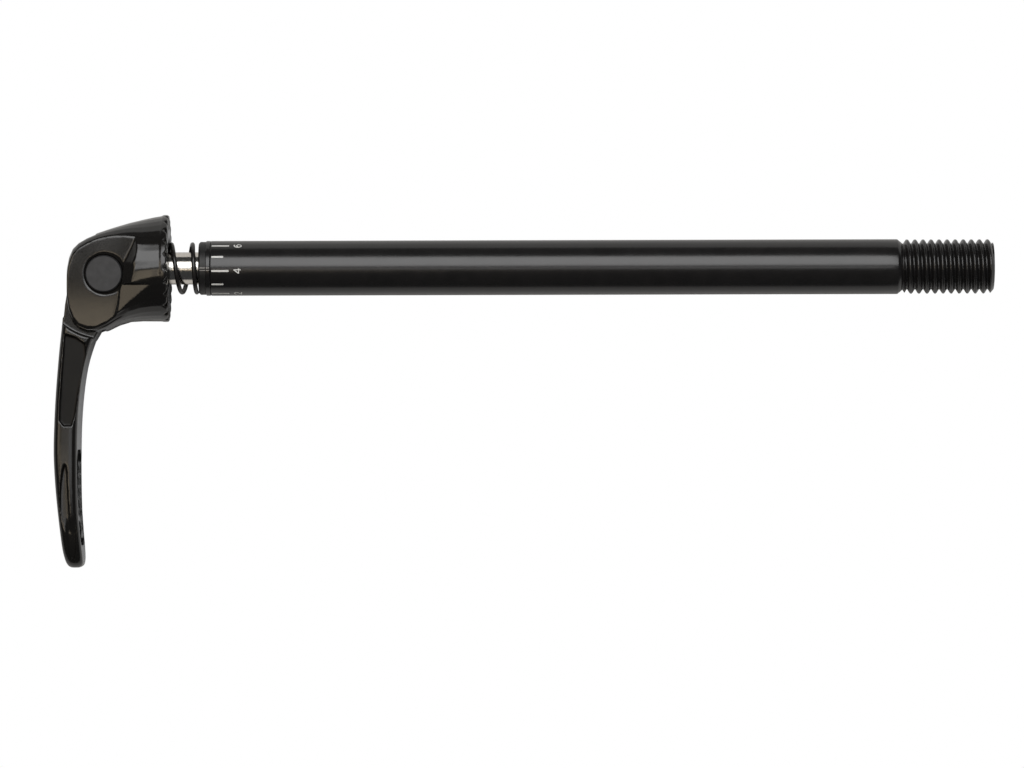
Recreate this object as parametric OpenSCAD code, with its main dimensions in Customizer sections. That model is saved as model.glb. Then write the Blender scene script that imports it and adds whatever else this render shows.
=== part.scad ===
// Bicycle thru axle, 12 x 142 mm, with a cam lever that clamps and an index collar
// that lets the lever be parked at any of twelve positions.
// Millimetres. X runs along the axle towards the thread, the closed lever points to -Y,
// Z is up. The origin is on the axle's own line, half way between the two frame faces.

/* [Tube] */
// Distance between the frame's inner faces
hub_width = 142; // [135:1:157]
// Outside diameter of the plain shank
tube_od = 11.92; // [11.8:0.02:12.2]
// Lightening bore right through
tube_bore = 6; // [4:0.5:7]
// Shank that goes through the frame on the lever side
head_length = 8; // [6:0.5:12]
// Threaded stretch beyond the far frame face
thread_length = 20; // [14:1:26]
// Outside diameter over the thread's crests (M12 x 1.75)
thread_od = 11.88; // [11.7:0.02:12]
// Diameter at the thread's root, where the run-out neck is turned down
thread_root = 9.85; // [9.5:0.05:10.2]
// Diameter of the counterbore that holds the rod's head
head_bore = 9; // [8.6:0.1:9.4]
// Depth of the counterbore from the joint
head_bore_depth = 18; // [16.5:0.5:24]

/* [Index collar] */
// Positions that the spline allows
index_points = 12; // [8:1:16]
// Spline diameter across its tips
spline_tip = 10.4; // [10.2:0.1:10.6]
// Depth of the spline socket in the tube
spline_depth = 2.8; // [2.2:0.1:3.2]
// Diameter of the collar's body
collar_od = 11.5; // [11.1:0.1:11.8]
// Length of the collar's body beside its ring
collar_body = 1.62; // [1.3:0.02:2.2]
// Width of the ring that meets the tube
ring_width = 0.98; // [0.8:0.02:1.4]
// Width of the index line cut along the collar
index_line = 0.5; // [0.3:0.05:0.8]

/* [Draw rod] */
// Diameter of the polished rod
rod_d = 7; // [6.6:0.1:7.2]
// Across the two flats that key the collar
rod_flats = 6; // [5.6:0.1:6.4]
// Diameter of the rod's threaded end
rod_end_d = 5; // [4.5:0.1:5.5]
// Outside radius of the cross eye
eye_r = 5; // [4.8:0.05:5.2]
// Thickness of the eye along the cam shaft
eye_thick = 6.2; // [5.6:0.1:6.4]

/* [Cam] */
// Distance from the clamp face to the lever's pivot
pivot_back = 13.7; // [13.4:0.1:14.4]
// Pivot set below the axle's line
pivot_drop = 1.24; // [1:0.02:1.4]
// Throw of the cam: how far its middle sits off the pivot
cam_throw = 1.1; // [0.8:0.05:1.3]
// Where the cam's middle points when the lever is closed
cam_phase = 170; // [165:1:178]
// Diameter of the cam
cam_d = 5.6; // [5.2:0.1:5.7]
// Diameter of the big journal seen on the upper cheek
journal_d = 8; // [7.8:0.1:8.2]
// Diameter of the small journal at the lower cheek
journal_small = 4; // [3.6:0.1:4.2]

/* [Housing] */
// Diameter of the toothed rim
rim_d = 23.3; // [22.6:0.1:24.5]
// Teeth round the clamp face
teeth = 24; // [18:1:30]
// Depth of the teeth
tooth_depth = 0.8; // [0.5:0.1:1.1]
// Bore of the recess that hides the spring
recess_d = 12.7; // [12.5:0.1:13.2]
// Depth of the recess
recess_depth = 5.8; // [5.4:0.1:6]
// Half the width over the two cheeks
cheek_half = 9.2; // [9:0.1:9.6]
// Half the width of the slot between the cheeks
slot_half = 6.4; // [6.3:0.05:6.6]

/* [Lever] */
// Half the width of the lever's fork
fork_half = 6.2; // [6:0.05:6.25]
// Half the gap in the fork for the eye
fork_gap = 3.4; // [3.3:0.05:3.6]
// Radius of the fork round the pivot
fork_r = 5.6; // [5.3:0.1:5.7]
// How far the paddle reaches from the axle's line
lever_reach = 64.9; // [58:0.5:72]
// Half the paddle's greatest width
paddle_half = 8.5; // [7.6:0.1:9.2]
// Depth of the hollows in the paddle
pocket_depth = 1.3; // [0.8:0.1:1.6]

/* [Return spring] */
// Wire diameter
wire_d = 0.97; // [0.8:0.01:1.1]
// Mean diameter of the coils
coil_d = 10.4; // [10.2:0.05:10.6]
// Turns between the closed end coils
live_turns = 1.9; // [1.6:0.1:2.6]

/* [Hidden] */
$fn = 64;

x_head = -hub_width / 2 - head_length;
x_frame = hub_width / 2;
x_tip = x_frame + thread_length;
x_ring = x_head - ring_width;
x_collar = x_ring - collar_body;
x_face = x_head - 9.1;
x_recess = x_face - recess_depth;
x_web = x_recess - 1.95;
px = x_face - pivot_back;
py = -pivot_drop;
cam_x = px + cam_throw * cos(cam_phase);
cam_y = py + cam_throw * sin(cam_phase);
x_bore_end = x_head + head_bore_depth;
x_sleeve = x_head + 6;
x_nut = x_head + 12.1;
// The collar's key, at the spigot's end, and the rod's flats, which it never runs off
collar_travel = 3.2;
x_key = x_head + spline_depth - 1.4;
x_flats = x_key - collar_travel - 0.3;

// A cylinder along X from one place to another
module bar(x0, x1, d) {
  translate([x0, 0, 0]) rotate([0, 90, 0]) cylinder(d = d, h = x1 - x0);
}

// A cone along X
module taper(x0, x1, d0, d1) {
  translate([x0, 0, 0]) rotate([0, 90, 0]) cylinder(d1 = d0, d2 = d1, h = x1 - x0);
}

// A profile of [x, radius] points turned about the axle's line
module turned(points) {
  rotate([0, 90, 0]) rotate_extrude() polygon([for (p = points) [p[1], p[0]]]);
}

// Points round the spline: tips and roots by turns, with short lands on both
function spline_points(tip, root, n) = [for (i = [0:n - 1]) for (j = [0:3])
  let (a = (i + [-0.17, 0.17, 0.33, 0.67][j]) * 360 / n, r = (j < 2 ? tip : root) / 2)
  [r * cos(a), r * sin(a)]];

module spline(x0, x1, tip, root) {
  translate([x0, 0, 0]) rotate([0, 90, 0])
    linear_extrude(height = x1 - x0) polygon(spline_points(tip, root, index_points));
}

// Tube

// Thread: crests and roots of M12 x 1.75 as true turned rings, one to each pitch, so that the
// part stays exact. The helix itself is drawn in the visual model.
thread_pitch = 1.75;
thread_crest = 0.22;
thread_flank = 0.545;
function thread_profile() = [
  for (i = [0:floor((thread_length - 1.6) / thread_pitch) - 1])
    let (x = x_frame + 1.36 + i * thread_pitch, h = thread_crest / 2)
    each [[x - h - thread_flank, thread_root / 2], [x - h, thread_od / 2],
          [x + h, thread_od / 2], [x + h + thread_flank, thread_root / 2]]];

module axle_tube() {
  r = tube_od / 2;
  k = thread_root / 2;
  color([0.06, 0.06, 0.065]) difference() {
    turned(concat([[x_head, 0], [x_head, r - 0.15], [x_head + 0.15, r], [x_frame - 1.25, r],
      [x_frame + 0.15, k]], thread_profile(),
      [[x_tip - 0.5, k + 0.3], [x_tip - 0.1, k], [x_tip, k - 0.15], [x_tip, 0]]));
    bar(x_head - 1, x_tip + 1, tube_bore);
    bar(x_head + spline_depth - 0.01, x_bore_end, head_bore);
    taper(x_bore_end - 0.01, x_bore_end + 0.9, head_bore, tube_bore);
    spline(x_head - 1, x_head + spline_depth, spline_tip, head_bore + 0.3);
    taper(x_tip - 0.6, x_tip + 0.01, tube_bore, tube_bore + 1.3);
  }
}

// Sleeve pressed into the tube: the rod's nut pulls against it

module retaining_sleeve() {
  color([0.62, 0.5, 0.28]) turned([[x_sleeve, rod_d / 2 + 0.05], [x_sleeve, head_bore / 2 - 0.3],
    [x_sleeve + 0.3, head_bore / 2], [x_sleeve + 6, head_bore / 2],
    [x_sleeve + 6, rod_d / 2 + 0.05]]);
}

// Rod with its cross eye

module draw_rod() {
  r = rod_d / 2;
  color([0.78, 0.77, 0.74]) difference() {
    union() {
      turned([[x_web - 3, 0], [x_web - 3, r], [x_nut, r], [x_nut, rod_end_d / 2],
              [x_nut + 4.6, rod_end_d / 2], [x_nut + 5, rod_end_d / 2 - 0.4],
              [x_nut + 5, 0]]);
      translate([cam_x, 0, -eye_thick / 2]) cylinder(r = eye_r, h = eye_thick);
    }
    for (s = [-1, 1]) translate([x_flats, -r - 1, s > 0 ? rod_flats / 2 : -r - 1])
      cube([x_head + 2.6 - x_flats, 2 * r + 2, r + 1 - rod_flats / 2]);
    for (y = [-0.9, 0.9]) translate([cam_x, y, -eye_thick]) cylinder(d = cam_d + 0.56,
      h = 2 * eye_thick);
    translate([cam_x - cam_d / 2 - 0.28, -0.9, -eye_thick])
      cube([cam_d + 0.56, 1.8, 2 * eye_thick]);
    // the eye and its neck are flattened to pass between the fork's cheeks
    for (s = [-1, 1]) translate([cam_x - 6, -6, s > 0 ? eye_thick / 2 : -eye_thick / 2 - r])
      cube([px + fork_r + 0.15 - cam_x + 6, 12, r]);
  }
}

module thrust_washer() {
  color([0.8, 0.8, 0.78]) difference() {
    bar(x_nut, x_nut + 0.8, 8.7);
    bar(x_nut - 1, x_nut + 2, rod_end_d + 0.04);
  }
}

module rod_nut() {
  color([0.7, 0.7, 0.68]) difference() {
    turned([[x_nut + 0.8, 0], [x_nut + 0.8, 4.3], [x_nut + 4, 4.3], [x_nut + 4.3, 4],
            [x_nut + 4.3, 0]]);
    bar(x_nut, x_nut + 6, rod_end_d);
    for (s = [-1, 1]) translate([x_nut + 3, s > 0 ? 3.6 : -5.6, -5]) cube([3, 2, 10]);
  }
}

// Index collar: ring, body and splined spigot in one piece

module index_collar() {
  b = collar_od / 2;
  r = tube_od / 2;
  color([0.045, 0.045, 0.05]) difference() {
    union() {
      turned([[x_collar, 0], [x_collar, b - 0.35], [x_collar + 0.35, b],
              [x_ring - 0.12, b], [x_ring - 0.12, b - 0.12], [x_ring, b - 0.12],
              [x_ring, r - 0.05], [x_ring + 0.1, r], [x_head - 0.17, r],
              [x_head - 0.05, r - 0.12], [x_head - 0.05, 0]]);
      spline(x_head - 0.5, x_head + spline_depth - 0.2, spline_tip - 0.1, head_bore + 0.1);
    }
    bar(x_collar - 1, x_key, rod_d + 0.1);
    difference() {
      bar(x_key - 0.2, x_head + 4, rod_d + 0.1);
      for (s = [-1, 1]) translate([x_key, -5, s > 0 ? rod_flats / 2 + 0.05 : -5])
        cube([6, 10, 5 - rod_flats / 2 - 0.05]);
    }
    rotate([3, 0, 0]) translate([x_collar - 0.5, -index_line / 2, b - 0.28])
      cube([x_head - 0.3 - x_collar, index_line, 1]);
  }
}

// Return spring: round wire swept along a right-hand helix with closed end coils

spring_x0 = x_recess + 0.5 + wire_d / 2 + 0.02;
spring_x1 = x_collar - wire_d / 2 - 0.02;
end_turns = 1;
all_turns = live_turns + 2 * end_turns;
live_pitch = (spring_x1 - spring_x0 - 2 * end_turns * wire_d) / live_turns;
function helix_x(t) = t < end_turns ? spring_x1 - t * wire_d
  : t < end_turns + live_turns ? spring_x1 - end_turns * wire_d - (t - end_turns) * live_pitch
  : spring_x0 + (all_turns - t) * wire_d;
wire_sides = 8;
steps = round(all_turns * 20);

module return_spring() {
  pts = [for (i = [0:steps]) let (t = i * all_turns / steps, a = 90 - (t - 0.85) * 360,
      lean = atan(live_pitch / (PI * coil_d)) * (t > end_turns && t < end_turns + live_turns ? 1 : 0.2))
    for (j = [0:wire_sides - 1]) let (q = j * 360 / wire_sides,
      r = coil_d / 2 + wire_d / 2 * cos(q), s = wire_d / 2 * sin(q))
      [helix_x(t) + s * cos(lean), r * cos(a) + s * sin(lean) * sin(a),
       r * sin(a) - s * sin(lean) * cos(a)]];
  n = wire_sides;
  side = [for (i = [0:steps - 1]) for (j = [0:n - 1]) let (k = (j + 1) % n)
    each [[i * n + k, i * n + j, (i + 1) * n + k], [(i + 1) * n + k, i * n + j, (i + 1) * n + j]]];
  color([0.05, 0.05, 0.05]) polyhedron(points = pts, faces = concat(side,
    [[for (j = [0:n - 1]) j]], [[for (j = [n - 1:-1:0]) steps * n + j]]), convexity = 8);
}

module spring_washer() {
  color([0.75, 0.75, 0.72]) difference() {
    bar(x_recess, x_recess + 0.5, recess_d - 0.3);
    bar(x_recess - 1, x_recess + 1, rod_d + 0.6);
  }
}

// Cam housing: forged block with a toothed rim, two cheeks and a slot between them

// Stations back from the face: [distance, top y, bottom y, half width in z, squareness]
housing_stations = [
  [0.7, 11.55, -11.55, 11.55, 2], [3.1, 11.15, -11.53, 11.5, 2.05], [5.7, 10.6, -11.5, 11.35, 2.2],
  [8.3, 9.95, -11.65, 11.15, 2.5], [10.9, 9.15, -12.4, 10.9, 2.9], [13.2, 8.4, -13.5, 10.65, 3.2],
  [15.2, 7.7, -14.2, 10.5, 3.4], [17.4, 6.8, -14.3, 10.3, 3.4], [19.2, 5.85, -13.7, 10.1, 3.3],
  [20.5, 4.7, -12.5, 9.8, 3.1], [21.3, 3.1, -10.9, 9.3, 2.9], [21.75, 1, -8.6, 8.5, 2.7]];
housing_sides = 40;

// One section: a circle at the rim that grows squarer towards the cheeks
function housing_section(k) = let (d = k[0], m = (k[1] + k[2]) / 2, h = (k[1] - k[2]) / 2,
    grow = rim_d / 23.3)
  [for (j = [0:housing_sides - 1]) let (a = 360 * j / housing_sides, c = cos(a), s = sin(a))
    [x_face - d, grow * (m + h * sign(c) * pow(abs(c), 2 / k[4])),
     grow * k[3] * sign(s) * pow(abs(s), 2 / k[4])]];

module housing_body() {
  m = housing_sides;
  rows = len(housing_stations) - 1;
  pts = [for (k = housing_stations) each housing_section(k)];
  side = [for (i = [0:rows - 1]) for (j = [0:m - 1]) let (k = (j + 1) % m)
    each [[i * m + j, i * m + k, (i + 1) * m + k], [i * m + j, (i + 1) * m + k, (i + 1) * m + j]]];
  polyhedron(points = pts, faces = concat(side, [[for (j = [m - 1:-1:0]) j]],
    [[for (j = [0:m - 1]) rows * m + j]]), convexity = 4);
}

module cam_housing() {
  color([0.03, 0.03, 0.03]) difference() {
    union() {
      turned([[x_face, 0], [x_face, rim_d / 2 - 0.25], [x_face - 0.25, rim_d / 2],
              [x_face - 1.3, rim_d / 2 - 0.03], [x_face - 1.3, 0]]);
      housing_body();
    }
    // flat on each cheek, and the shoulder that runs slantwise up to the round part
    for (m = [0, 1]) mirror([0, 0, m]) translate([x_face - 9.6, 0, cheek_half]) {
      rotate([0, -3, 0]) linear_extrude(height = 6)
        polygon([[5.4, 12], [0.1, 0.8], [-1, -7.7], [-4.6, -17], [-25, -17], [-25, 12]]);
      translate([0.1, 0.8, 0]) rotate([0, 0, -25.2]) rotate([0, -44, 0])
        translate([0, -0.4, 0]) cube([7, 14, 5]);
      translate([0.1, 0.8, 0]) rotate([0, 0, -7.4]) rotate([0, -38, 0])
        translate([0, -4.6, 0]) cube([7, 5, 5]);
      intersection() {
        translate([0.1, 0.8, -0.02]) rotate([0, 0, -13.4]) rotate([0, -15, 0])
          translate([-0.1, -17, 0]) cube([12, 20, 9]);
        translate([-12, -20, -6]) cube([19, 16.6, 20]);
      }
    }
    bar(x_recess, x_face + 1, recess_d);
    taper(x_face - 0.5, x_face + 0.01, recess_d, recess_d + 1);
    bar(x_face - 25, x_face, rod_d + 0.3);
    // slot for the lever's fork and the rod's eye
    translate([0, 0, -slot_half]) linear_extrude(height = 2 * slot_half) union() {
      translate([px, py]) circle(r = px < x_web - 6 ? 6 : x_web - px);
      translate([px + 0.45, 0]) circle(r = 5.45);
      polygon([[px + 1.5, 16], [px + 1.5, 0], [px + 5.6, py - 2], [px + 5.2, -7.5],
               [px + 1.6, -20], [px - 30, -20], [px - 30, 16]]);
    }
    // journals
    translate([px, py, 0]) {
      cylinder(d = journal_d + 0.06, h = 20);
      translate([0, 0, cheek_half - 0.75]) cylinder(d1 = journal_d + 0.1, d2 = journal_d + 1.7,
        h = 0.8);
      translate([0, 0, -20]) cylinder(d = journal_small + 0.06, h = 20);
      translate([0, 0, -cheek_half - 3]) cylinder(d = 8.4, h = 4);
    }
    // teeth that bite the frame
    for (i = [0:teeth - 1]) rotate([i * 360 / teeth, 0, 0]) translate([x_face, 0, 8.6])
      rotate([0, 0, 45]) translate([-tooth_depth / sqrt(2), -tooth_depth / sqrt(2), 0])
      cube([tooth_depth * sqrt(2), tooth_depth * sqrt(2), 5]);
  }
}

// Shaft with the eccentric that draws the rod

module cam_shaft() {
  color([0.16, 0.16, 0.17]) union() {
    translate([px, py, fork_gap]) cylinder(d = journal_d, h = cheek_half - fork_gap - 0.55);
    translate([px, py, cheek_half - 0.55]) cylinder(d1 = journal_d, d2 = journal_d - 0.5, h = 0.4);
    translate([cam_x, cam_y, -fork_gap + 0.05]) cylinder(d = cam_d, h = 2 * fork_gap - 0.05);
    difference() {
      translate([px, py, -cheek_half + 0.1]) cylinder(d = journal_small,
        h = cheek_half - fork_gap - 0.05 + 0.1);
      translate([px, py, -cheek_half + 0.28]) difference() {
        cylinder(d = journal_small + 1, h = 0.62);
        translate([0, 0, -1]) cylinder(d = journal_small - 0.8, h = 3);
      }
    }
  }
}

module shaft_clip() {
  color([0.5, 0.5, 0.48]) translate([px, py, -cheek_half + 0.3]) difference() {
    cylinder(d = 7.4, h = 0.58);
    translate([0, 0, -1]) cylinder(d = journal_small - 0.76, h = 3);
    translate([0, -1.5, -1]) cube([5, 3, 3]);
  }
}

// Lever: fork and paddle forged in one piece

// Stations down the paddle: [share of reach, outer x, inner x, share of half width]
lever_stations = [
  [0.165, -31.9, -24.0, 0.95], [0.205, -32.1, -24.5, 0.955], [0.262, -32.5, -25.9, 0.965],
  [0.33, -32.9, -27.2, 0.98], [0.42, -33.35, -28.1, 1], [0.52, -33.7, -28.6, 1],
  [0.62, -33.85, -28.75, 1], [0.72, -33.55, -28.75, 0.985], [0.81, -33.05, -28.6, 0.95],
  [0.89, -32.5, -28.2, 0.88], [0.94, -32.1, -27.9, 0.79], [0.975, -31.6, -27.75, 0.66],
  [0.993, -31.05, -27.95, 0.52], [1.0, -30.3, -28.6, 0.38]];
// Smooth curve through four neighbouring values
function curve(a, b, c, d, t) = 0.5 * (2 * b + (c - a) * t + (2 * a - 5 * b + 4 * c - d) * t * t
  + (3 * b - a - 3 * c + d) * t * t * t);
function station(i, k) = lever_stations[max(0, min(len(lever_stations) - 1, i))][k];
function at_station(u, k) = let (i = floor(u), t = u - i)
  curve(station(i - 1, k), station(i, k), station(i + 1, k), station(i + 2, k), t);

// Rounded section: corner radius c, six steps to a corner
function section(y, xo, xi, w) = let (c = min(1.5, (xi - xo) / 2 - 0.05, w - 0.1), m = (xo + xi) / 2,
    h = (xi - xo) / 2)
  [for (q = [0:3]) for (s = [0:4]) let (a = q * 90 + s * 22.5, sx = (q == 0 || q == 3) ? 1 : -1,
    sz = q < 2 ? 1 : -1)
    [x_head + m + sx * (h - c) + c * cos(a), y, sz * (w - c) + c * sin(a)]];

module paddle() {
  n = len(lever_stations);
  sub = 3;
  rows = (n - 1) * sub;
  pts = [for (i = [0:rows]) let (u = min(i / sub, n - 1.0001))
    each section(-lever_reach * at_station(u, 0), at_station(u, 1), at_station(u, 2),
                 paddle_half * at_station(u, 3))];
  m = 20;
  side = [for (i = [0:rows - 1]) for (j = [0:m - 1]) let (k = (j + 1) % m)
    each [[i * m + k, i * m + j, (i + 1) * m + k], [(i + 1) * m + k, i * m + j, (i + 1) * m + j]]];
  polyhedron(points = pts, faces = concat(side, [[for (j = [0:m - 1]) j]],
    [[for (j = [m - 1:-1:0]) rows * m + j]]), convexity = 4);
}

// Leaf-shaped outline down the paddle, from one share of the reach to another
function leaf(y0, y1, xa, xb, wide, n = 10) = concat(
  [for (i = [0:n]) let (t = i / n) [xa + (xb - xa) * t - 0.9 * sin(180 * t)
    - wide * pow(sin(180 * t), 0.55) / 2, -lever_reach * (y0 + (y1 - y0) * t)]],
  [for (i = [n - 1:-1:1]) let (t = i / n) [xa + (xb - xa) * t - 0.9 * sin(180 * t)
    + wide * pow(sin(180 * t), 0.55) / 2, -lever_reach * (y0 + (y1 - y0) * t)]]);

module lever() {
  color([0.025, 0.025, 0.025]) difference() {
    union() {
      difference() {
        paddle();
        // the wide part starts clear of the cheeks, on an arc round the pivot
        for (m = [0, 1]) mirror([0, 0, m]) translate([px, py, fork_half])
          cylinder(r = 14.15, h = 5);
        translate([px, py, -fork_half - 0.01]) cylinder(r = 10.5, h = 2 * fork_half + 0.02);
      }
      translate([0, 0, -fork_half]) linear_extrude(height = 2 * fork_half) union() {
        translate([px, py]) circle(r = fork_r);
        polygon([[px + 5.2, py - 2], [px + 3.2, -8.5], [px - 0.6, -12.5], [px - 2.4, -15.6],
                 [px - 9.2, -15.6], [px - 9, -12], [px - 8.6, -8], [px - 8.1, -5],
                 [px - 7.2, -2], [px - 5.2, 1.2], [px - 3, py + 4.7]]);
      }
    }
    // gap for the eye, open the way the rod swings as the lever opens
    translate([0, 0, -fork_gap]) linear_extrude(height = 2 * fork_gap) union() {
      translate([cam_x, cam_y]) circle(r = eye_r + 0.35);
      translate([cam_x - eye_r - 0.35, cam_y]) square([30, 30]);
      translate([cam_x, cam_y - eye_r - 0.35]) square([30, 30]);
    }
    translate([px, py, 0]) cylinder(d = journal_d, h = 20);
    translate([px, py, -20]) cylinder(d = journal_small, h = 20);
    // hollows: a long one and a leaf on each side, and one on the inner face
    for (m = [0, 1]) mirror([0, 0, m]) {
      translate([x_head, 0, paddle_half * 0.96 - pocket_depth]) rotate([-1.2, 0, 0])
        linear_extrude(height = 5)
        polygon([[-31.35, -14.3], [-29, -15], [-26.9, -16.4], [-26.75, -18.6], [-27.5, -22],
                 [-28.4, -27], [-29.2, -32], [-29.9, -34.2], [-31.6, -34.2], [-32.5, -33],
                 [-32.4, -29], [-32.05, -24], [-31.7, -19]]);
      translate([x_head, 0, paddle_half - pocket_depth * 0.75]) linear_extrude(height = 5)
        polygon(leaf(0.645, 0.975, -31.3, -29.75, 1.9));
    }
    translate([x_head - 28.45 - pocket_depth, 0, 0]) rotate([0, 90, 0])
      linear_extrude(height = 6) hull() for (y = [-42, -57.5]) for (z = [-1, 1])
      translate([z * (paddle_half - (y < -50 ? 5.2 : 4.2)), y * lever_reach / 64.9])
      circle(r = 2.6, $fn = 24);
  }
}

axle_tube();
retaining_sleeve();
draw_rod();
thrust_washer();
rod_nut();
index_collar();
return_spring();
spring_washer();
cam_housing();
cam_shaft();
shaft_clip();
lever();
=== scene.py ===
import math

import bpy
from mathutils import Matrix, Vector


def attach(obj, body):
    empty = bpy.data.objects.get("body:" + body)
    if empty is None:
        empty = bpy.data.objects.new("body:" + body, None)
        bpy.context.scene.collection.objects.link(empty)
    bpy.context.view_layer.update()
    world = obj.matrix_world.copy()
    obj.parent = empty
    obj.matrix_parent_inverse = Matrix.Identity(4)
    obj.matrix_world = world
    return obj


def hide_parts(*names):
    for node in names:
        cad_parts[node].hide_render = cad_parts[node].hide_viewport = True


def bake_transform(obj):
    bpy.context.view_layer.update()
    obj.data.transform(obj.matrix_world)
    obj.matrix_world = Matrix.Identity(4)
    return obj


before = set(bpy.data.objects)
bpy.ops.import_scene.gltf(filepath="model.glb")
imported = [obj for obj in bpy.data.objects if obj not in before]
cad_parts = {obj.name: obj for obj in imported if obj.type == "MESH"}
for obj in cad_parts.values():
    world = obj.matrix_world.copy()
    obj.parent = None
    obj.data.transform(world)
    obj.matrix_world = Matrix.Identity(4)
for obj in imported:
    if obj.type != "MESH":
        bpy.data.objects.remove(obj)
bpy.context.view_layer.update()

MM = 0.001

# Sizes in millimetres, the same as in part.scad
X_FACE, X_HEAD, X_FRAME, X_TIP = -88.1, -79.0, 71.0, 91.0
R_TUBE, R_CREST, R_ROOT, PITCH = 5.96, 5.94, 4.93, 1.75
R_COLLAR, R_BORE, R_HEAD_BORE = 5.75, 3.0, 4.5
HEAD_BORE_DEPTH, SPLINE_DEPTH, SPLINE_TEETH, R_SPLINE_ROOT, R_SPLINE_TIP = 18.0, 2.8, 12, 5.18, 4.66
SLOT_HALF, TABLE_Z = 6.7, -11.67
CHEEK_X, CHEEK_Z, FLAT_TILT, FACET_TURN, FACET_TILT = -97.7, 9.2, 3.0, -13.4, -15.0


# Materials

class Sock:
    """One node socket that arithmetic builds on."""

    def __init__(self, mat, out):
        self.mat, self.out = mat, out

    def _op(self, kind, other):
        return self.mat.node("ShaderNodeMath", {0: self, 1: other}, operation=kind)

    def __add__(self, other):
        return self._op("ADD", other)

    def __mul__(self, other):
        return self._op("MULTIPLY", other)

    __radd__, __rmul__ = __add__, __mul__

    def step(self, low, high):
        return self.mat.node("ShaderNodeMapRange", {0: self, 1: low, 2: high}, clamp=True)


class Mat:
    def __init__(self, name):
        self.m = bpy.data.materials.new(name)
        self.m.use_nodes = True
        self.t = self.m.node_tree
        self.bsdf = self.t.nodes["Principled BSDF"]
        self.tex = self.t.nodes.new("ShaderNodeTexCoord")

    def node(self, kind, inputs=(), out=0, **props):
        n = self.t.nodes.new(kind)
        for k, v in props.items():
            setattr(n, k, v)
        for k, v in dict(inputs).items():
            if isinstance(v, Sock):
                self.t.links.new(v.out, n.inputs[k])
            else:
                n.inputs[k].default_value = v
        return Sock(self, n.outputs[out])

    def noise(self, scale, detail=3.0, stretch=(1, 1, 1)):
        place = Sock(self, self.tex.outputs["Object"])
        at = self.node("ShaderNodeVectorMath", {0: place, 1: stretch}, operation="MULTIPLY")
        return self.node("ShaderNodeTexNoise", {"Vector": at, "Scale": scale, "Detail": detail})

    def set(self, **inputs):
        for k, v in inputs.items():
            sock = self.bsdf.inputs[k.replace("_", " ")]
            if isinstance(v, Sock):
                self.t.links.new(v.out, sock)
            else:
                sock.default_value = v
        return self

    def bump(self, height, strength, distance):
        sockets = {"Height": height, "Strength": strength, "Distance": distance}
        return self.set(Normal=self.node("ShaderNodeBump", sockets))


def mixed(mat, share, a, b):
    return mat.node("ShaderNodeMix", {0: share, 6: a, 7: b}, out=2, data_type="RGBA")


def rgb(r, g, b):
    return (r, g, b, 1.0)


def tube_black():
    m = Mat("tube_black")
    grain = m.noise(2600, 2)
    m.set(Base_Color=mixed(m, m.noise(300).step(0.3, 0.7), rgb(0.010, 0.0095, 0.0095),
                           rgb(0.014, 0.013, 0.013)),
          Roughness=m.noise(180, 4).step(0.2, 0.8) * 0.05 + 0.20, Metallic=0.0)
    m.bsdf.inputs["IOR"].default_value = 1.55
    return m.bump(grain, 0.08, 0.00002).m


def matte_black():
    m = Mat("matte_black")
    m.set(Base_Color=mixed(m, m.noise(500).step(0.3, 0.7), rgb(0.008, 0.008, 0.008),
                           rgb(0.016, 0.015, 0.015)),
          Roughness=m.noise(400, 3).step(0.2, 0.8) * 0.1 + 0.42)
    return m.bump(m.noise(5000, 2), 0.15, 0.00002).m


def gloss_paint():
    m = Mat("gloss_paint")
    m.set(Base_Color=mixed(m, m.noise(120).step(0.3, 0.7), rgb(0.0065, 0.006, 0.0055),
                           rgb(0.010, 0.009, 0.008)),
          Roughness=m.noise(220, 4).step(0.2, 0.8) * 0.06 + 0.16)
    m.bsdf.inputs["IOR"].default_value = 1.55
    return m.bump(m.noise(700, 3), 0.10, 0.00005).m


# painted shade: a darker base colour and a lower IOR, so the lever's hollow floor reads as shaded
def pocket_shade_paint():
    m = Mat("pocket_shade_paint")
    m.set(Base_Color=mixed(m, m.noise(150).step(0.3, 0.7), rgb(0.0055, 0.005, 0.0045),
                           rgb(0.009, 0.008, 0.007)),
          Roughness=m.noise(220, 4).step(0.2, 0.8) * 0.08 + 0.30)
    m.bsdf.inputs["IOR"].default_value = 1.25
    return m.m


def bright_rod():
    m = Mat("bright_rod")
    rings = m.noise(900, 3, (6, 0.4, 0.4))
    m.set(Base_Color=mixed(m, rings.step(0.3, 0.7), rgb(0.66, 0.62, 0.57), rgb(0.80, 0.77, 0.72)),
          Metallic=1.0, Roughness=rings.step(0.2, 0.8) * 0.08 + 0.12)
    return m.bump(rings, 0.12, 0.00002).m


def shaft_dark():
    m = Mat("shaft_dark")
    m.set(Base_Color=mixed(m, m.noise(700).step(0.3, 0.7), rgb(0.022, 0.022, 0.024),
                           rgb(0.034, 0.034, 0.037)),
          Roughness=m.noise(600, 4).step(0.2, 0.8) * 0.12 + 0.46)
    return m.bump(m.noise(3500, 3), 0.2, 0.00003).m


def spring_black():
    m = Mat("spring_black")
    m.set(Base_Color=mixed(m, m.noise(400).step(0.3, 0.7), rgb(0.010, 0.009, 0.009),
                           rgb(0.020, 0.018, 0.017)),
          Roughness=m.noise(500, 3).step(0.2, 0.8) * 0.1 + 0.2)
    return m.bump(m.noise(3000, 2), 0.1, 0.00002).m


def print_white():
    m = Mat("print_white")
    m.set(Base_Color=mixed(m, m.noise(1500).step(0.3, 0.7), rgb(0.80, 0.80, 0.78),
                           rgb(0.9, 0.9, 0.88)), Roughness=0.45)
    return m.m


def plain_metal(name, low, high, rough):
    m = Mat(name)
    m.set(Base_Color=mixed(m, m.noise(600).step(0.3, 0.7), low, high), Metallic=1.0,
          Roughness=m.noise(500, 3).step(0.2, 0.8) * 0.12 + rough)
    return m.m


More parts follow.
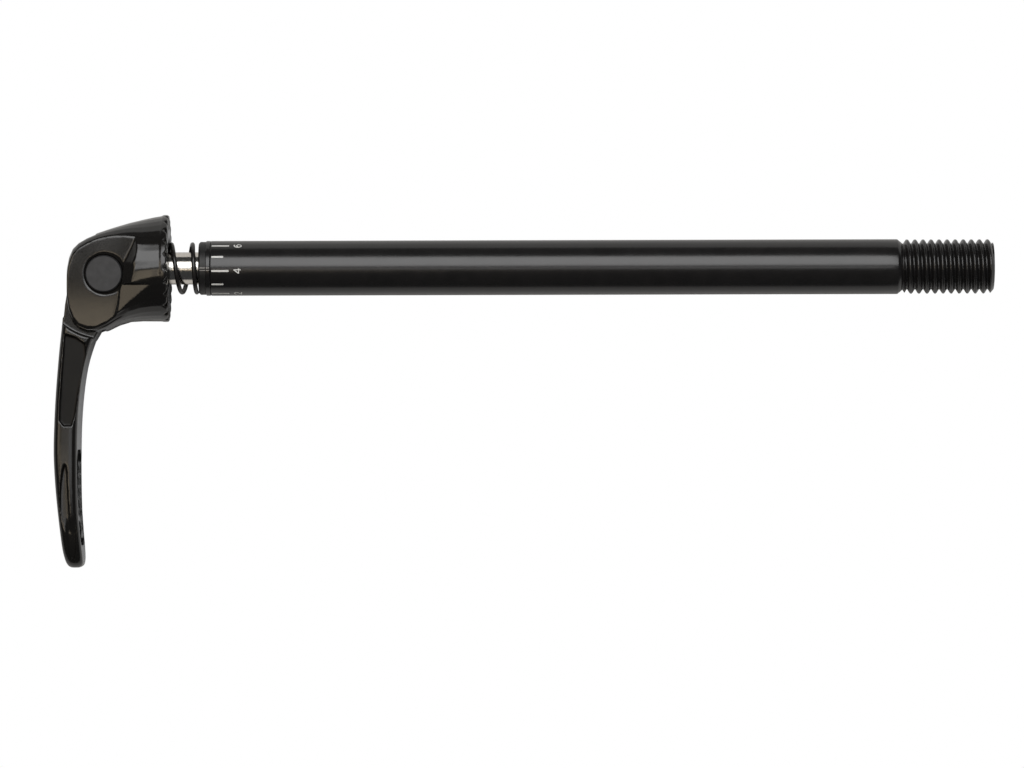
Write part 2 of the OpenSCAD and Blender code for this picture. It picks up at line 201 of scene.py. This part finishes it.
TUBE = tube_black()
MATTE = matte_black()
PAINT = gloss_paint()
ROD = bright_rod()
SHAFT = shaft_dark()
SPRING = spring_black()
PRINT = print_white()
# painted shade for the lever's hollow floor
POCKET_SHADE = pocket_shade_paint()
ZINC = plain_metal("zinc", rgb(0.5, 0.5, 0.49), rgb(0.62, 0.62, 0.6), 0.25)
# painted highlight: bright metal strips on the engraved index line's edges
EDGE_GLINT = plain_metal("edge_glint", rgb(0.30, 0.29, 0.28), rgb(0.42, 0.41, 0.40), 0.35)
BRONZE = plain_metal("bronze", rgb(0.45, 0.30, 0.12), rgb(0.55, 0.38, 0.17), 0.25)


# Helpers

def only(obj):
    bpy.ops.object.select_all(action="DESELECT")
    obj.select_set(True)
    bpy.context.view_layer.objects.active = obj


def smooth(obj, degrees=32):
    only(obj)
    bpy.ops.object.shade_smooth_by_angle(angle=math.radians(degrees))


def mesh_object(name, verts, faces, material):
    me = bpy.data.meshes.new(name)
    me.from_pydata([tuple(c * MM for c in v) for v in verts], [], faces)
    me.update()
    obj = bpy.data.objects.new(name, me)
    bpy.context.scene.collection.objects.link(obj)
    me.materials.append(material)
    return obj


def grid_faces(rows, cols, wrap=True):
    last = cols if wrap else cols - 1
    faces = []
    for i in range(rows - 1):
        low, high = i * cols, (i + 1) * cols
        faces += [(low + j, low + (j + 1) % cols, high + (j + 1) % cols, high + j) for j in range(last)]
    return faces


def prism_faces(m):
    """Faces of a prism whose vertices are m low points and then m high ones."""
    sides = [(j, (j + 1) % m, (j + 1) % m + m, j + m) for j in range(m)]
    return [tuple(range(m)), tuple(range(m, 2 * m))] + sides


def fix_normals(obj):
    only(obj)
    bpy.ops.object.mode_set(mode="EDIT")
    bpy.ops.mesh.select_all(action="SELECT")
    bpy.ops.mesh.normals_make_consistent(inside=False)
    bpy.ops.object.mode_set(mode="OBJECT")


def ring_point(x, r, a):
    """A point at angle a, counted from +Z towards +Y."""
    return (x, r * math.sin(a), r * math.cos(a))


def apply_modifier(obj, kind, **settings):
    mod = obj.modifiers.new("step", kind)
    for k, v in settings.items():
        setattr(mod, k, v)
    only(obj)
    bpy.ops.object.modifier_apply(modifier=mod.name)


def rebuild(obj, voxel):
    """Gives a mesh even faces, so that its edges can be softened."""
    apply_modifier(obj, "REMESH", mode="VOXEL", voxel_size=voxel * MM)


def soften(obj, rounds):
    apply_modifier(obj, "SMOOTH", factor=0.5, iterations=rounds)


def cut(obj, tool, operation="DIFFERENCE"):
    apply_modifier(obj, "BOOLEAN", operation=operation, solver="EXACT", object=tool)
    bpy.data.objects.remove(tool)


def cad_copy(node, name, material, extra=None):
    """A CAD node's own mesh as a new piece, joined with another mesh if one is given."""
    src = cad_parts[node]
    obj = bpy.data.objects.new(name, src.data.copy())
    bpy.context.scene.collection.objects.link(obj)
    obj.data.materials.clear()
    obj.data.materials.append(material)
    for poly in obj.data.polygons:
        poly.material_index = 0
    only(obj)
    if extra:
        extra.select_set(True)
        bpy.ops.object.join()
    bpy.ops.object.mode_set(mode="EDIT")
    bpy.ops.mesh.select_all(action="SELECT")
    bpy.ops.mesh.remove_doubles(threshold=0.000005)
    bpy.ops.object.mode_set(mode="OBJECT")
    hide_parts(node)
    return obj


# Tube with its real thread

THREAD_START, THREAD_ROWS, TUBE_COLS = 72.24, 400, 144


def thread_radius(x, a):
    """Radius at x and angle: a 60 degree thread that runs out of the shoulder and into the chamfer."""
    phase = ((x - THREAD_START) / PITCH + (a - math.pi / 2) / (2 * math.pi)) % 1.0
    away = min(phase, 1 - phase) * PITCH
    d = away - 0.21
    r = R_CREST - 0.82 * (math.hypot(d, 0.13) + d)
    r = max(r, R_ROOT + 0.05)
    run_in = R_ROOT + 0.15 + max(0.0, x - (X_FRAME + 0.3)) * 1.6
    run_out = R_ROOT + 0.1 + (X_TIP - x) * 1.15
    return min(r, max(run_in, R_ROOT + 0.05), run_out)


def build_tube():
    cols = TUBE_COLS
    verts = []
    profile = [(X_HEAD, R_TUBE - 0.15), (X_HEAD + 0.06, R_TUBE - 0.05), (X_HEAD + 0.15, R_TUBE)]
    x = X_HEAD + 1
    while x < X_FRAME - 1.3:
        profile.append((x, R_TUBE))
        x += 6
    profile += [(X_FRAME - 0.95, R_TUBE), (X_FRAME - 0.8, R_TUBE - 0.06), (X_FRAME - 0.1, R_TUBE - 0.62),
                (X_FRAME + 0.12, R_ROOT + 0.2), (X_FRAME + 0.2, R_ROOT + 0.15)]
    for px, r in profile:
        verts += [ring_point(px, r, 2 * math.pi * j / cols) for j in range(cols)]
    for i in range(THREAD_ROWS + 1):
        px = X_FRAME + 0.22 + (X_TIP - X_FRAME - 0.22) * i / THREAD_ROWS
        verts += [ring_point(px, thread_radius(px, 2 * math.pi * j / cols), 2 * math.pi * j / cols)
                  for j in range(cols)]
    inner = [(X_TIP, R_BORE + 0.65), (X_TIP - 0.65, R_BORE), (X_HEAD + HEAD_BORE_DEPTH + 0.9, R_BORE),
             (X_HEAD + HEAD_BORE_DEPTH, R_HEAD_BORE), (X_HEAD + SPLINE_DEPTH, R_HEAD_BORE)]
    for px, r in inner:
        verts += [ring_point(px, r, 2 * math.pi * j / cols) for j in range(cols)]
    # the splined socket
    for px in (X_HEAD + SPLINE_DEPTH, X_HEAD):
        for j in range(cols):
            u = (j * SPLINE_TEETH / cols) % 1.0
            r = R_SPLINE_ROOT if (u < 0.22 or u > 0.78) else R_SPLINE_TIP
            verts.append(ring_point(px, r, 2 * math.pi * j / cols))
    count = len(verts) // cols
    last = (count - 1) * cols
    faces = grid_faces(count, cols)
    faces += [(last + j, last + (j + 1) % cols, (j + 1) % cols, j) for j in range(cols)]
    obj = mesh_object("tube", verts, faces, TUBE)
    fix_normals(obj)
    smooth(obj, 24)
    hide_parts("axle_tube")
    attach(obj, "axle")


# Scale printed round the tube

STROKES = {
    "0": [[(0.5, 0), (0.12, 0.2), (0.05, 0.5), (0.12, 0.8), (0.5, 1), (0.88, 0.8), (0.95, 0.5),
           (0.88, 0.2), (0.5, 0)]],
    "1": [[(0.2, 0.75), (0.55, 1), (0.55, 0)]],
    "2": [[(0.05, 0.75), (0.2, 0.96), (0.6, 1), (0.9, 0.82), (0.85, 0.58), (0.05, 0), (0.95, 0)]],
    "4": [[(0.72, 0), (0.72, 1), (0.02, 0.3), (1.0, 0.3)]],
    "6": [[(0.88, 0.86), (0.6, 1), (0.3, 0.93), (0.08, 0.6), (0.06, 0.3), (0.25, 0.03), (0.6, 0),
           (0.9, 0.15), (0.93, 0.4), (0.7, 0.6), (0.35, 0.58), (0.1, 0.38)]],
    "8": [[(0.5, 0.54), (0.15, 0.68), (0.15, 0.88), (0.5, 1), (0.85, 0.88), (0.85, 0.68),
           (0.5, 0.54), (0.08, 0.36), (0.08, 0.14), (0.5, 0), (0.92, 0.14), (0.92, 0.36),
           (0.5, 0.54)]],
}


def ribbon(points, width, verts, faces):
    """A flat stroke through points (along X, round the tube) in millimetres, laid on the tube."""
    fine = []
    for (x0, s0), (x1, s1) in zip(points, points[1:]):
        n = max(1, int(math.hypot(x1 - x0, s1 - s0) / 0.12))
        fine += [(x0 + (x1 - x0) * k / n, s0 + (s1 - s0) * k / n) for k in range(n)]
    fine.append(points[-1])
    base = len(verts)
    for i, (x, s) in enumerate(fine):
        ax, as_ = fine[max(0, i - 1)]
        bx, bs = fine[min(len(fine) - 1, i + 1)]
        d = math.hypot(bx - ax, bs - as_) or 1.0
        nx, ns = -(bs - as_) / d * width / 2, (bx - ax) / d * width / 2
        for k in (-1, 0, 1):
            a = (s + ns * k) / R_TUBE
            verts.append(ring_point(x + nx * k, R_TUBE + 0.006, a))
    for i in range(len(fine) - 1):
        for k in (0, 1):
            p = base + i * 3 + k
            faces.append((p, p + 1, p + 4, p + 3))


LABELS = {0: "6", 2: "4", 4: "2", 6: "12", 8: "10", 10: "8"}
FIRST_MARK, MARK_STEP = 53.4, 30
MARK_START, LONG_MARK, SHORT_MARK, MARK_WIDTH = 0.30, 3.75, 2.55, 0.40
DIGIT_FOOT, DIGIT_WIDE, DIGIT_HIGH, DIGIT_STEP, DIGIT_STROKE = 6.38, 1.12, 1.55, 1.45, 0.21


def build_scale():
    verts, faces = [], []
    x0 = X_HEAD + MARK_START
    for k in range(12):
        s = math.radians(FIRST_MARK - MARK_STEP * k) * R_TUBE
        text = LABELS.get(k, "")
        ribbon([(x0, s), (x0 + (LONG_MARK if text else SHORT_MARK), s)], MARK_WIDTH, verts, faces)
        start = s - (DIGIT_STEP * (len(text) - 1) + DIGIT_WIDE) / 2
        for i, ch in enumerate(text):
            for line in STROKES[ch]:
                placed = [(x0 + DIGIT_FOOT - v * DIGIT_HIGH, start + i * DIGIT_STEP + u * DIGIT_WIDE)
                          for u, v in line]
                ribbon(placed, DIGIT_STROKE, verts, faces)
    obj = mesh_object("scale_print", verts, faces, PRINT)
    fix_normals(obj)
    for poly in obj.data.polygons:
        c, n = poly.center, poly.normal
        if c.y * n.y + c.z * n.z < 0:
            poly.flip()
    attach(obj, "axle")


# Return spring

def build_spring():
    wire, mean, sides, per_turn = 0.485, 5.2, 14, 56
    x1, x2, end, pitch, live = -82.09, -92.92, 0.5, 4.65, 1.93
    end_pitch, closed_pitch = 1.8, 0.97
    turns = end + live + 0.9
    steps = round(turns * per_turn)

    def at(t):
        if t < end:
            return x1 - t * end_pitch
        if t < end + live:
            return x1 - end * end_pitch - (t - end) * pitch
        return max(x2, x1 - end * end_pitch - live * pitch - (t - end - live) * closed_pitch)

    centre = []
    for i in range(steps + 1):
        t = turns * i / steps
        x = sum(at(min(turns, max(0, t + d))) for d in (-0.06, -0.03, 0, 0.03, 0.06)) / 5
        a = math.radians(90) - (t - 0.25) * 2 * math.pi
        centre.append(Vector((x, mean * math.cos(a), mean * math.sin(a))))
    verts = []
    for i, c in enumerate(centre):
        t = (centre[min(steps, i + 1)] - centre[max(0, i - 1)]).normalized()
        out = Vector((0, c.y, c.z)).normalized()
        out = (out - t * out.dot(t)).normalized()
        side = t.cross(out)
        for j in range(sides):
            q = 2 * math.pi * j / sides
            verts.append(tuple(c + wire * (math.cos(q) * out + math.sin(q) * side)))
    faces = grid_faces(steps + 1, sides)
    faces += [tuple(range(sides)), tuple(steps * sides + j for j in range(sides))]
    obj = mesh_object("coil_spring", verts, faces, SPRING)
    fix_normals(obj)
    smooth(obj, 40)
    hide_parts("return_spring")
    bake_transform(obj)


build_tube()
build_scale()
build_spring()


# Forged housing and lever, worked up from the solids

def ease(v, low, high):
    t = max(0.0, min(1.0, (v - low) / (high - low)))
    return t * t * (3 - 2 * t)


# Stations back from the clamp face: distance, top y, bottom y, half width, squareness in the
# solid, and the fuller squareness that the forged skin has
HOUSING = ((0.7, 11.55, -11.55, 11.55, 2, 2), (3.1, 11.15, -11.53, 11.5, 2.05, 2.05),
           (5.7, 10.6, -11.5, 11.35, 2.2, 2.25), (8.3, 9.95, -11.65, 11.15, 2.5, 2.75),
           (10.9, 9.15, -12.4, 10.9, 2.9, 3.5), (13.2, 8.4, -13.5, 10.65, 3.2, 4.2),
           (15.2, 7.7, -14.2, 10.5, 3.4, 4.6), (17.4, 6.8, -14.3, 10.3, 3.4, 4.6),
           (19.2, 5.85, -13.7, 10.1, 3.3, 4.3), (20.5, 4.7, -12.5, 9.8, 3.1, 3.9),
           (21.3, 3.1, -10.9, 9.3, 2.9, 3.4), (21.75, 1, -8.6, 8.5, 2.7, 3.0))


def housing_at(x):
    d = max(HOUSING[0][0], min(HOUSING[-1][0], X_FACE - x))
    for lo, hi in zip(HOUSING, HOUSING[1:]):
        if d <= hi[0]:
            t = (d - lo[0]) / (hi[0] - lo[0])
            return [p + (q - p) * t for p, q in zip(lo, hi)]


def housing_webs():
    """The forged skin that closes the slot's two ends, above the eye and below the fork."""
    sides, verts = 48, []
    for d in (9, 10, 10.9, 12, 13.2, 14.2, 15.2, 16.3):
        _, top, bottom, half, k, _ = housing_at(X_FACE - d)
        mid, edge = (top + bottom) / 2, (top - bottom) / 2
        for j in range(sides):
            c, q = math.cos(2 * math.pi * j / sides), math.sin(2 * math.pi * j / sides)
            verts.append((X_FACE - d, mid + edge * math.copysign(abs(c) ** (2 / k), c),
                          half * math.copysign(abs(q) ** (2 / k), q)))
    n = len(verts) // sides
    faces = grid_faces(n, sides)
    faces += [tuple(range(sides)), tuple((n - 1) * sides + j for j in range(sides))]
    skin = mesh_object("webs", verts, faces, PAINT)
    fix_normals(skin)
    above_eye = ((-103.8, 16), (-103.8, 6.9), (-102.4, 6.35), (-101.0, 5.7), (-99.4, 4.6), (-99.4, 16))
    below_fork = ((-96.6, -6.9), (-97.9, -8.7), (-101.6, -12.7), (-103.4, -16.2), (-103.4, -20),
                  (-98, -20), (-96.2, -9))
    tools = []
    for outline in (above_eye, below_fork):
        verts = [(x, y, z) for z in (-SLOT_HALF, SLOT_HALF) for x, y in outline]
        tools.append(mesh_object("cut", verts, prism_faces(len(outline)), PAINT))
        fix_normals(tools[-1])
    only(tools[0])
    tools[1].select_set(True)
    bpy.ops.object.join()
    cut(skin, tools[0], "INTERSECT")
    return skin


def fill_out(obj):
    """Gives the forging its fuller corners."""
    for v in obj.data.vertices:
        x, y, z = v.co / MM
        _, top, bottom, half, k, full = housing_at(x)
        u = min(0.97, abs(z) / half)
        mid, edge = (top + bottom) / 2, (top - bottom) / 2 * (1 - u ** k) ** (1 / k)
        gain = (1 - u ** full) ** (1 / full) / (1 - u ** k) ** (1 / k)
        near = ease(abs(y - mid) / edge, 0.74, 0.98)
        v.co.y = (mid + (y - mid) * (1 + (gain - 1) * near)) * MM


def cheek_prism(outline, floor_z, side):
    """A tall prism over an outline in the cheek's frame, on a sloping floor, for one cheek."""
    low = [(CHEEK_X + x, y, side * (CHEEK_Z + floor_z(x, y))) for x, y in outline]
    high = [(x, y, side * 16) for x, y, _ in low]
    obj = mesh_object("cut", low + high, prism_faces(len(outline)), PAINT)
    fix_normals(obj)
    return obj


FLAT_OUTLINE = ((5.4, 14), (0.1, 0.8), (-1, -7.7), (-4.6, -17), (-25, -17), (-25, 14))
FACET_OUTLINE = ((-0.9, -3.4), (7, -3.4), (7, -20), (-4.9, -20))


def flat_floor(x, y):
    return x * math.tan(math.radians(FLAT_TILT))


def facet_floor(x, y):
    turn = Matrix.Rotation(math.radians(FACET_TURN), 3, "Z")
    tilt = Matrix.Rotation(math.radians(FACET_TILT), 3, "Y")
    n = turn @ tilt @ Vector((0, 0, 1))
    return -0.02 - (n.x * (x - 0.1) + n.y * (y - 0.8)) / n.z


def cut_cheeks(obj):
    """The flat on each cheek, and the three-cornered facet below its shoulder."""
    for side in (1, -1):
        cut(obj, cheek_prism(FLAT_OUTLINE, flat_floor, side))
        cut(obj, cheek_prism(FACET_OUTLINE, facet_floor, side))


def crown(obj):
    """Forged flats are never quite flat: they fall away a little from their middle."""
    for v in obj.data.vertices:
        x, y, z = v.co / MM
        flat = ease(abs(z), 7.9, 8.5) * ease(9.5 - abs(z), 0, 0.25) * ease(-x, 96.5, 99)
        away = y + 1.5
        drop = 0.0009 * away ** 2 if away > 0 else 0.0034 * away ** 2
        v.co.z = (z - math.copysign(drop * flat, z)) * MM


# Edge of the cubes that each mesh is rebuilt from, and the rounds of softening that follow
HOUSING_VOXEL, HOUSING_ROUNDS = 0.17, 5
LEVER_VOXEL, LEVER_ROUNDS = 0.16, 9

housing = cad_copy("cam_housing", "housing_body", PAINT, extra=housing_webs())
rebuild(housing, HOUSING_VOXEL)
fill_out(housing)
cut_cheeks(housing)
rebuild(housing, HOUSING_VOXEL)
soften(housing, HOUSING_ROUNDS)
crown(housing)
smooth(housing, 60)
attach(housing, "housing")

# The long flute down the paddle: place along the lever, middle in x, half width
FLUTE = ((-41.6, -109.8, 0.3), (-44, -109.65, 0.75), (-48, -109.4, 1.05), (-53.5, -109.2, 1.15),
         (-59, -109.0, 1.1), (-61.6, -108.95, 0.85), (-63.0, -108.95, 0.4))


def shape_lever(obj):
    """Carries the flute on down to the tip."""
    for v in obj.data.vertices:
        x, y, z = v.co / MM
        for (y0, c0, w0), (y1, c1, w1) in zip(FLUTE, FLUTE[1:]):
            if y1 <= y < y0 and abs(z) > 3.5:
                t = (y0 - y) / (y0 - y1)
                q = abs(x - c0 - (c1 - c0) * t) / (w0 + (w1 - w0) * t)
                dip = 0.5 * ease(1.15 - q, 0, 0.6) * ease(-y, 53.5, 57.5)
                v.co.z -= math.copysign(dip * MM, z)


lever = cad_copy("lever", "lever_body", PAINT)
rebuild(lever, LEVER_VOXEL)
soften(lever, LEVER_ROUNDS)
shape_lever(lever)
# painted shade: the hollow's floor gets a darker, duller paint so that it reads as shaded
lever.data.materials.append(POCKET_SHADE)
for poly in lever.data.polygons:
    c, up = poly.center / MM, abs(poly.normal.z)
    if -34.0 < c.y < -14.6 and 6.4 < abs(c.z) < 7.62 and up > 0.9:
        poly.material_index = 1
smooth(lever, 60)
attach(lever, "lever")

for node, material in (("index_collar", MATTE), ("draw_rod", ROD), ("cam_shaft", SHAFT),
                       ("retaining_sleeve", BRONZE), ("thrust_washer", ZINC), ("rod_nut", ZINC),
                       ("spring_washer", ZINC), ("shaft_clip", ZINC)):
    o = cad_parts[node]
    o.data.materials.clear()
    o.data.materials.append(material)
    for poly in o.data.polygons:
        poly.material_index = 0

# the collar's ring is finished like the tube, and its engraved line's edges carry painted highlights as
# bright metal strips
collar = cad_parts["index_collar"]
collar.data.materials.append(TUBE)
for poly in collar.data.polygons:
    poly.material_index = 1 if poly.center.x / MM > X_HEAD - 0.97 else 0


def build_index_line():
    """Painted highlights along the two edges of the engraved line, over the collar's body and its ring.
    """
    verts, faces = [], []
    lift = 0.007
    for x0, x1, r in ((-81.25, -80.12, R_COLLAR + lift), (-79.86, -79.2, R_TUBE + lift)):
        for y in (-0.03, -0.57):
            base = len(verts)
            verts += [(x, y + w, math.sqrt(r * r - (y + w) ** 2))
                      for x in (x0, x1) for w in (-0.06, 0.06)]
            faces.append((base, base + 2, base + 3, base + 1))
    # the strips are painted highlights on the groove's edges
    obj = mesh_object("index_line", verts, faces, EDGE_GLINT)
    for poly in obj.data.polygons:
        if poly.normal.z < 0:
            poly.flip()
    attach(obj, "collar")


build_index_line()


# Camera, floor and light

def camera():
    cam = bpy.data.cameras.new("camera")
    cam.lens, cam.sensor_width = 210.2, 36
    cam.clip_start, cam.clip_end = 0.05, 20
    obj = bpy.data.objects.new("camera", cam)
    bpy.context.scene.collection.objects.link(obj)
    obj.location = (-0.01367, -0.02531, 1.30)
    obj.rotation_euler = (0, 0, math.radians(-0.147))
    bpy.context.scene.camera = obj


def panel(name, centre, size, strength, target=(0, 0, 0), colour=(1, 1, 1)):
    light = bpy.data.lights.new(name, "AREA")
    light.shape, light.size, light.size_y = "RECTANGLE", size[0], size[1]
    light.energy = strength * math.pi * size[0] * size[1]
    light.color = colour
    obj = bpy.data.objects.new(name, light)
    bpy.context.scene.collection.objects.link(obj)
    obj.location = centre
    way = Vector(target) - Vector(centre)
    obj.rotation_euler = way.to_track_quat("-Z", "Y").to_euler()
    return obj


def floor():
    m = bpy.data.materials.new("white_table")
    m.use_nodes = True
    t = m.node_tree
    bsdf = t.nodes["Principled BSDF"]
    bsdf.inputs["Base Color"].default_value = (0.85, 0.85, 0.85, 1)
    bsdf.inputs["Roughness"].default_value = 0.9
    glow = t.nodes.new("ShaderNodeEmission")
    glow.inputs["Color"].default_value = (1, 1, 1, 1)
    glow.inputs["Strength"].default_value = 1.0
    path = t.nodes.new("ShaderNodeLightPath")
    mix = t.nodes.new("ShaderNodeMixShader")
    t.links.new(path.outputs["Is Camera Ray"], mix.inputs[0])
    t.links.new(bsdf.outputs[0], mix.inputs[1])
    t.links.new(glow.outputs[0], mix.inputs[2])
    t.links.new(mix.outputs[0], t.nodes["Material Output"].inputs["Surface"])
    s, z = 2.0, TABLE_Z * MM
    me = bpy.data.meshes.new("table")
    me.from_pydata([(-s, -s, z), (s, -s, z), (s, s, z), (-s, s, z)], [], [(0, 1, 2, 3)])
    me.materials.append(m)
    obj = bpy.data.objects.new("table", me)
    bpy.context.scene.collection.objects.link(obj)


camera()
floor()
panel("softbox", (0.10, 0.80, 1.40), (1.5, 1.28), 3.4, target=(0.10, 0.80, 0))
panel("warm_card", (-0.42, -0.25, 1.50), (0.42, 0.30), 2.6, target=(-0.42, -0.25, 0),
               colour=(1.0, 0.84, 0.62))
panel("warm_side", (-0.90, 0.10, 1.20), (0.50, 0.65), 1.7, target=(-0.1, 0, 0),
               colour=(1.0, 0.84, 0.62))
panel("near_strip", (0.25, -0.10, 1.60), (0.9, 0.20), 1.5, target=(0.25, -0.10, 0))
world = bpy.data.worlds.new("room")
bpy.context.scene.world = world
world.use_nodes = True
world.node_tree.nodes["Background"].inputs["Color"].default_value = (0.9, 0.95, 1.0, 1)
world.node_tree.nodes["Background"].inputs["Strength"].default_value = 0.05
bpy.context.scene.view_settings.view_transform = "Standard"
